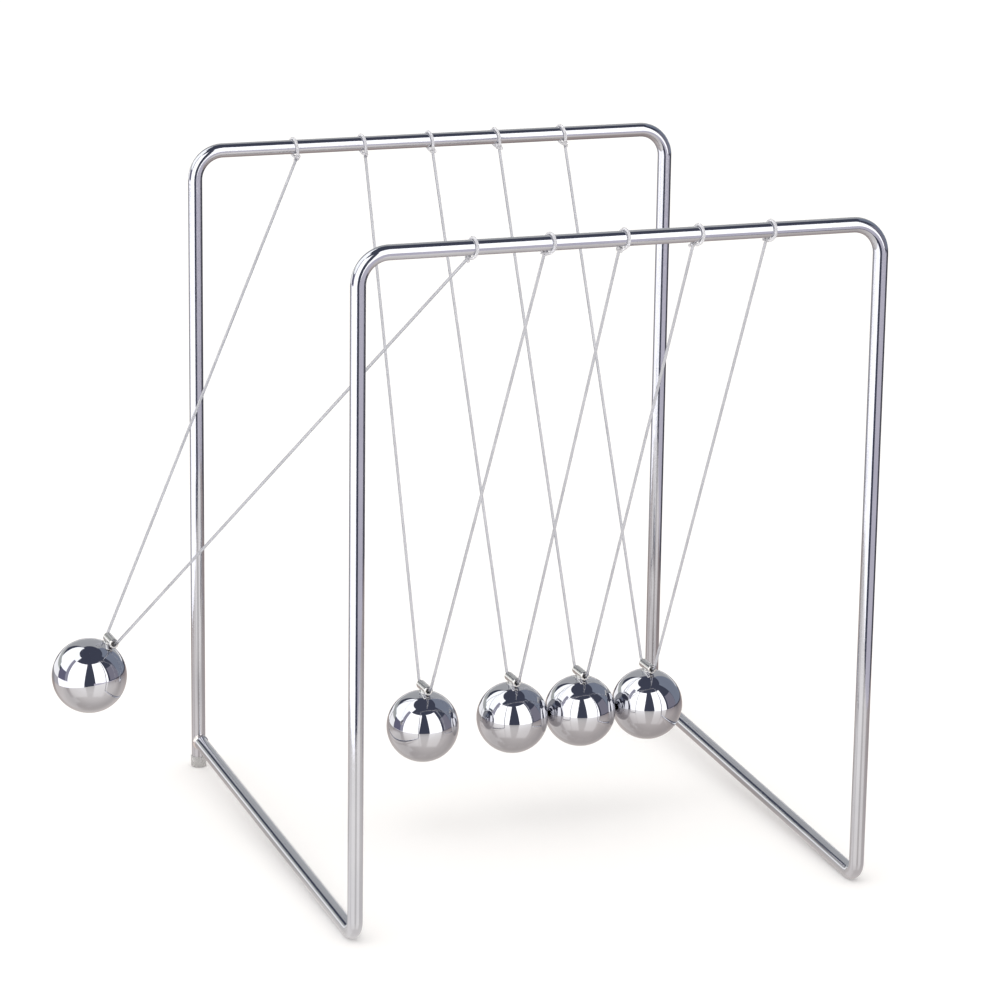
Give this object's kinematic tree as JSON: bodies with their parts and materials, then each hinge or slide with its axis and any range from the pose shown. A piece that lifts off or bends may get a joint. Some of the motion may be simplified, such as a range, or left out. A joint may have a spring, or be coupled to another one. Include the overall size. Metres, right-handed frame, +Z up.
{
  "type": "newtons cradle",
  "caption": "Newton's cradle: a row of polished steel balls hung on V lines of clear nylon between two bent chrome-rod arches; the end ball is drawn out to the left.",
  "frame": {"origin": "on the level surface that the cradle stands on, under the middle of its frame, half way between the four legs", "axes": "+X along the row of balls to the right, +Y from the front arch to the back arch, +Z up"},
  "size_m": [0.2055, 0.1526, 0.1838],
  "materials": {
    "chrome_rod": "bright chrome plate on drawn steel rod",
    "weld_bead": "plated-over weld, uneven and slightly tinted",
    "clear_cap": "clear soft vinyl cap",
    "polished_ball": "mirror-polished bearing steel",
    "steel_lug": "bright drawn steel tube",
    "nylon_line": "clear nylon monofilament"
  },
  "bodies": {
    "frame": {"front_frame": "chrome_rod", "back_frame": "chrome_rod", "weld_left": "weld_bead", "weld_right": "weld_bead", "foot_cap_left": "clear_cap", "foot_cap_right": "clear_cap", "front_loop_1": "nylon_line", "front_loop_2": "nylon_line", "front_loop_3": "nylon_line", "front_loop_4": "nylon_line", "front_loop_5": "nylon_line", "back_loop_1": "nylon_line", "back_loop_2": "nylon_line", "back_loop_3": "nylon_line", "back_loop_4": "nylon_line", "back_loop_5": "nylon_line"},
    "pendulum_1": {"ball_1": "polished_ball", "lug_1": "steel_lug", "line_1": "nylon_line"},
    "pendulum_2": {"ball_2": "polished_ball", "lug_2": "steel_lug", "line_2": "nylon_line"},
    "pendulum_3": {"ball_3": "polished_ball", "lug_3": "steel_lug", "line_3": "nylon_line"},
    "pendulum_4": {"ball_4": "polished_ball", "lug_4": "steel_lug", "line_4": "nylon_line"},
    "pendulum_5": {"ball_5": "polished_ball", "lug_5": "steel_lug", "line_5": "nylon_line"}
  },
  "joints": [
    {"name": "ball_1_swing", "type": "hinge", "parent": "frame", "child": "pendulum_1", "pos_m": [-0.0416, 0, 0.17829], "axis": [0, -1, 0], "range_deg": [-42, 33]},
    {"name": "ball_2_swing", "type": "hinge", "parent": "frame", "child": "pendulum_2", "pos_m": [-0.0214, 0, 0.17829], "axis": [0, -1, 0], "range_deg": [-3.06, 2.41]},
    {"name": "ball_3_swing", "type": "hinge", "parent": "frame", "child": "pendulum_3", "pos_m": [-0.0012, 0, 0.17829], "axis": [0, -1, 0], "range_deg": [-0.06, 0.06]},
    {"name": "ball_4_swing", "type": "hinge", "parent": "frame", "child": "pendulum_4", "pos_m": [0.019, 0, 0.17829], "axis": [0, -1, 0], "range_deg": [0, 5.46]},
    {"name": "ball_5_swing", "type": "hinge", "parent": "frame", "child": "pendulum_5", "pos_m": [0.0392, 0, 0.17829], "axis": [0, -1, 0], "range_deg": [0, 75]}
  ],
  "couplings": [
    {"joint": "ball_2_swing", "follows": "ball_1_swing", "ratio": 0.072727},
    {"joint": "ball_4_swing", "follows": "ball_5_swing", "ratio": 0.072727}
  ]
}
